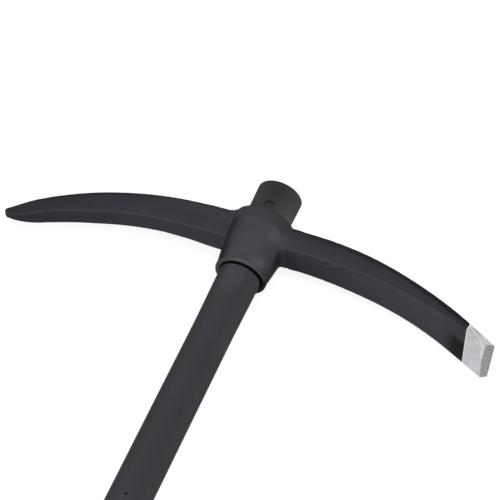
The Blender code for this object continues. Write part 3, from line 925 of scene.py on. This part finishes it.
def ground_steel(name, dark, pale, roughness, grain, run, depth):
    """Bare ground steel. Grain is the size of its marks, run how far they're drawn out and depth how
    deep they are. They cross each other at two angles, and their bottoms are darker and rougher."""
    material, tree, shader, coordinates = finish_named(name)
    crossing = []
    for lean, detail in ((0.0, 1.0), (40.0, 2.0)):
        drawn_out = add(tree, "ShaderNodeMapping", {
            "Vector": coordinates, "Rotation": (0.0, math.radians(lean), blade_turn),
            "Scale": (run, 1.0, 1.0),
        }, vector_type="TEXTURE")
        crossing.append(add(tree, "ShaderNodeTexNoise", {
            "Vector": drawn_out, "Scale": 1 / grain, "Detail": detail,
        }))
    marks = where(tree, *crossing)
    low, high = 0.17, 0.33
    gloss = add(tree, "ShaderNodeMapRange", {
        "Value": marks, "From Min": low, "From Max": high, "To Min": roughness + gloss_spread,
        "To Max": roughness - gloss_spread,
    })
    bump = add(tree, "ShaderNodeBump", {"Height": marks, "Strength": 0.6, "Distance": depth})
    from_corner = add(tree, "ShaderNodeVectorMath", {
        0: coordinates, 1: tuple(paint_corner),
    }, operation="SUBTRACT")
    beyond_paint = add(tree, "ShaderNodeVectorMath", {
        0: from_corner, 1: tuple(past_paint.normalized()),
    }, operation="DOT_PRODUCT").outputs["Value"]
    # A painted highlight in a strip just past the paint's edge.
    painted_highlight_strip = add(tree, "ShaderNodeMapRange", {
        "Value": beyond_paint, "From Min": highlight_strip[0], "From Max": highlight_strip[1],
        "To Min": 1.0, "To Max": 0.0,
    })
    colour = add(tree, "ShaderNodeValToRGB", {"Fac": marks}, [(low, dark), (high, pale)])
    colour = layered(tree, colour, (painted_highlight_strip, "#f0f0f2"))
    give(shader, {"Base Color": colour, "Roughness": gloss, "Metallic": 1.0, "Normal": bump})
    return material


# The belt leaves the faces even and the stone scratches the near side from end to end. The bevel is
# coarse, the strip beside it shines and the arrises carry painted shade. Real grit leaves finer marks
# than these, which are as coarse as it takes for them to show.
blade = slab("ground_blade", blade_rings())
for finish in (
    ground_steel("belt_ground_steel", "#b5b4b8", "#c0bfc3", 0.40, 0.003, 3.0, 0.0001),
    ground_steel("stone_ground_steel", "#929294", "#d4d4d6", 0.45, 0.0009, 16.0, 0.0003),
    ground_steel("rough_ground_bevel", "#838384", "#a5a5a6", 0.50, 0.0013, 1.3, 0.0002),
    ground_steel("burnished_steel", "#b0b0b2", "#d4d4d6", 0.35, 0.0014, 1.5, 0.0001),
    ground_steel("painted_shade_arris", "#48484a", "#5c5c5e", 0.50, 0.002, 1.5, 0.0001),
):
    blade.data.materials.append(finish)
belt, stone, bevel, burnished, shaded_arris = range(5)
faces_round = (belt, bevel, burnished, belt, belt)
corners = len(faces_round)
last = len(blade_lines) - 1
for number, face in enumerate(blade.data.polygons):
    span, k = divmod(number, corners)
    by_stone = span == last or (span == 0 and k >= 2)
    face.material_index = stone if by_stone else faces_round[k]
# The outer arrises are rounded and carry painted shade: the near side's, the edge's and the far side's.
weights = blade.data.attributes.new("bevel_weight_edge", "FLOAT", "EDGE")
for number, line in enumerate(blade.data.edges):
    rings, ends = zip(*sorted(divmod(vertex, corners) for vertex in line.vertices))
    near_back = rings == (0, 0) and set(ends) == {0, 1}
    far_side = rings == (last, last) and set(ends) in ({1, 2}, {2, 3}, {3, 4})
    if near_back or far_side or ends == (1, 1):
        weights.data[number].value = 1.0
arris = blade.modifiers.new("arris", "BEVEL")
arris.width = edge_corner
arris.segments = 2
arris.limit_method = "WEIGHT"
arris.material = shaded_arris
settle(blade)
smooth(blade, 8.0)
blade.data.transform(lying)
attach(blade, "root")


# Grip
# Natural rubber sleeve, moulded with ring grooves and a knob that keeps the hand from slipping off.
# It is pulled over the tube's lower end with soapy water, and looks dull and slightly dusty.

grip_low, grip_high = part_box("grip_sleeve")
grip_top = grip_high[1] - eye_mouth.y
grip_bottom = grip_low[1] - eye_mouth.y
grip_bore = tube_radius + sleeve_gap
grip_wall = 0.0034
grip_edge = 0.0012
grip_flare = 0.0040
flare_levels = (0.030, 0.0075)  # above the bottom, where the flare starts and where it is full
groove_count = 11
groove_pitch = 0.0180
groove_depth = 0.0011
groove_floor = 0.00104          # half a groove's width at its floor
groove_mouth = 0.0026           # and at the surface
first_groove = grip_top - 0.0290
profile_step = 0.0007           # spacing of the points that follow the grooves
rubber_bloom = 0.020            # spacing of the dust's paler patches
rubber_grain = (0.0007, 0.0001)     # spacing and depth of the mould's grain

rubber, tree, shader, coordinates = finish_named("moulded_rubber")
_, bloom = mottled(tree, coordinates, rubber_bloom, 4.0, "#222223", "#2a2a2b")
bump = grained(tree, coordinates, *rubber_grain, 3.0, 0.4)
give(shader, {"Base Color": bloom, "Roughness": 0.72, "IOR": 1.52, "Normal": bump})


def grooved(tree, given, profile):
    """Gives the outside of a wall section ring grooves at an even pitch, and a flared lower end."""
    fine = add(tree, "GeometryNodeResampleCurve", {"Curve": profile, "Length": profile_step}, mode="LENGTH")
    place = add(tree, "ShaderNodeSeparateXYZ", {0: add(tree, "GeometryNodeInputPosition")}).outputs
    level = add(tree, "ShaderNodeMath", {0: place["Y"], 1: -1.0}, operation="MULTIPLY")
    half_wall = add(tree, "ShaderNodeMath", {0: given["Wall at top"], 1: 0.5}, operation="MULTIPLY")
    outside = add(tree, "ShaderNodeMath", {0: place["X"], 1: half_wall}, operation="GREATER_THAN")
    # The grooved stretch ends half a pitch past the first and the last groove. Beyond it the level is
    # held there, so that the wall stays plain.
    half_pitch = add(tree, "ShaderNodeMath", {0: given["Groove pitch"], 1: 0.5}, operation="MULTIPLY")
    highest = add(tree, "ShaderNodeMath", {0: given["First groove"], 1: half_pitch}, operation="ADD")
    lowest = add(tree, "ShaderNodeMath", {0: given["Last groove"], 1: half_pitch}, operation="SUBTRACT")
    held = add(tree, "ShaderNodeClamp", {"Value": level, "Min": lowest, "Max": highest})
    from_first = add(tree, "ShaderNodeMath", {0: held, 1: given["First groove"]}, operation="SUBTRACT")
    off_groove = add(tree, "ShaderNodeMath", {0: from_first, 1: half_pitch}, operation="PINGPONG")
    dip = add(tree, "ShaderNodeMapRange", {
        "Value": off_groove, "From Min": given["Groove floor"], "From Max": given["Groove mouth"],
        "To Min": given["Groove depth"], "To Max": 0.0,
    }, interpolation_type="SMOOTHSTEP")
    swell = add(tree, "ShaderNodeMapRange", {
        "Value": level, "From Min": given["Flare start"], "From Max": given["Flare end"],
        "To Min": 0.0, "To Max": given["Flare"],
    }, interpolation_type="SMOOTHSTEP")
    change = add(tree, "ShaderNodeMath", {0: swell, 1: dip}, operation="SUBTRACT")
    shift = add(tree, "ShaderNodeMath", {0: change, 1: outside}, operation="MULTIPLY")
    return add(tree, "GeometryNodeSetPosition", {
        "Geometry": fine, "Offset": add(tree, "ShaderNodeCombineXYZ", {"X": shift}),
    })


grip_shape = wall_tree("grooved_sleeve", (
    "Groove pitch", "Groove depth", "Groove floor", "Groove mouth", "First groove", "Last groove",
    "Flare", "Flare start", "Flare end",
), grooved)
grip = grown("ringed_grip", grip_shape, {
    "Inner radius": grip_bore, "Wall at top": grip_wall, "Wall at bottom": grip_wall, "Top": grip_top,
    "Bottom": grip_bottom, "Edge rounding": grip_edge, "Edge steps": 5, "Steps round": 96,
    "Groove pitch": groove_pitch, "Groove depth": groove_depth, "Groove floor": groove_floor,
    "Groove mouth": groove_mouth, "First groove": first_groove,
    "Last groove": first_groove - (groove_count - 1) * groove_pitch, "Flare": grip_flare,
    "Flare start": grip_bottom + flare_levels[0], "Flare end": grip_bottom + flare_levels[1],
    "Finish": rubber,
})
smooth(grip, 60.0)
seat(grip, "grip_sleeve")


# Butt plug
# Moulded polyethylene cap, as wide as the grip's knob, with a spigot that is pushed into the tube's
# lower end. It has the top plug's matt black.

butt_box_low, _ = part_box("butt_plug")
butt_level = butt_box_low[1] - eye_mouth.y
butt_lip = 0.0050
butt_spigot = 0.025
butt_edge = 0.0015
butt_radius = grip_bore + grip_wall + grip_flare
butt_plug = turned("butt_cap", [
    (0.0, butt_level + butt_lip + butt_spigot), (spigot_radius, butt_level + butt_lip + butt_spigot),
    (spigot_radius, butt_level + butt_lip), (butt_radius, butt_level + butt_lip),
    *quarter(butt_radius - butt_edge, butt_level + butt_edge, butt_edge, 0.0),
    (0.0, butt_level),
])
smooth(butt_plug)
seat(butt_plug, "butt_plug", moulded_black)


# Studio
# A pale sheet of paper under the tool, a broad soft light over it and another in front of it. The
# paper and the room show white to the camera and in reflections, which adds no light to the tool.

floor_reach = 8.0
floor_gap = 0.0002
paper_cloud = 0.15              # spacing of the paper's thicker and thinner patches
paper_glow = 0.875              # what the paper adds to the light that falls on it, to show white
room_light = (0.06, 0.40)       # strengths behind the tool's head, and at the front and above
room_front = (0.35, -0.75, 0.55)


def seen_directly(tree):
    """1 for rays that come from the camera, a reflection or glass, 0 for the rest."""
    rays = add(tree, "ShaderNodeLightPath").outputs
    mirrored = add(tree, "ShaderNodeMath", {
        0: rays["Is Camera Ray"], 1: rays["Is Glossy Ray"],
    }, operation="MAXIMUM")
    return add(tree, "ShaderNodeMath", {0: mirrored, 1: rays["Is Transmission Ray"]}, operation="MAXIMUM")


paper, tree, shader, coordinates = finish_named("studio_paper")
glow = add(tree, "ShaderNodeMath", {0: seen_directly(tree), 1: paper_glow}, operation="MULTIPLY")
_, pulp = mottled(tree, coordinates, paper_cloud, 3.0, "#7c7c7c", "#838383")
give(shader, {
    "Base Color": pulp, "Roughness": 0.9, "Emission Color": "#ffffff", "Emission Strength": glow,
})
floor_form = bmesh.new()
bmesh.ops.create_grid(floor_form, x_segments=1, y_segments=1, size=floor_reach)
floor = piece_from(floor_form, "studio_floor")
floor.location.z = -floor_gap
floor.data.materials.append(paper)

world = bpy.data.worlds.new("studio")
world.use_nodes = True
bpy.context.scene.world = world
tree = world.node_tree
# The room is brightest at the front and above, and darker behind the tool's head.
towards_front = add(tree, "ShaderNodeVectorMath", {
    0: add(tree, "ShaderNodeTexCoord").outputs["Generated"], 1: room_front,
}, operation="DOT_PRODUCT").outputs["Value"]
room = add(tree, "ShaderNodeMapRange", {
    "Value": towards_front, "From Min": -0.8, "From Max": 0.8,
    "To Min": room_light[0], "To Max": room_light[1],
})
plain = add(tree, "ShaderNodeMapRange", {"Value": seen_directly(tree), "To Min": room, "To Max": 1.0})
give(tree.nodes["Background"], {"Color": "#ffffff", "Strength": plain})


def soft_light(name, place, size, watts):
    """A square area lamp aimed at the head."""
    lamp = bpy.data.lights.new(name, "AREA")
    lamp.shape = "SQUARE"
    lamp.size = size
    lamp.energy = watts
    light = linked(name, lamp)
    light.location = place
    aim = eye_mouth - Vector(place)
    light.rotation_euler = aim.to_track_quat("-Z", "Y").to_euler()


soft_light("overhead_softbox", (0.5, -0.1, 1.9), 1.2, 22.5)
soft_light("front_softbox", (-1.4, -1.6, 0.6), 1.0, 22.0)


# Camera
# A long lens well above the floor, looking down along the handle, with the head in the middle. The
# tube's edges, the eye's mouth and the arms' outlines fix its turns, its distance and the lens.

camera_around = 24.238          # degrees that it stands to the right of the handle's foot
camera_tilt = 36.676            # degrees from straight down
camera_roll = -2.785            # degrees that it leans sideways
camera_distance = 1.70158
camera_aim = (0.00946, 0.02469)     # how far the mouth is left of and below the picture's middle

camera_data = bpy.data.cameras.new("camera")
camera_data.sensor_width = 36.0
camera_data.lens = 132.65
camera_data.clip_end = 50.0
camera_data.shift_x = -0.0003
camera_data.shift_y = 0.0004
camera = linked("camera", camera_data)
view = Matrix.Translation(eye_mouth)
for angle, axis in ((camera_around, "Z"), (camera_tilt, "X"), (camera_roll, "Z")):
    view = view @ Matrix.Rotation(math.radians(angle), 4, axis)
camera.matrix_world = view @ Matrix.Translation((*camera_aim, camera_distance))
bpy.context.scene.camera = camera
bpy.context.scene.view_settings.view_transform = "Standard"
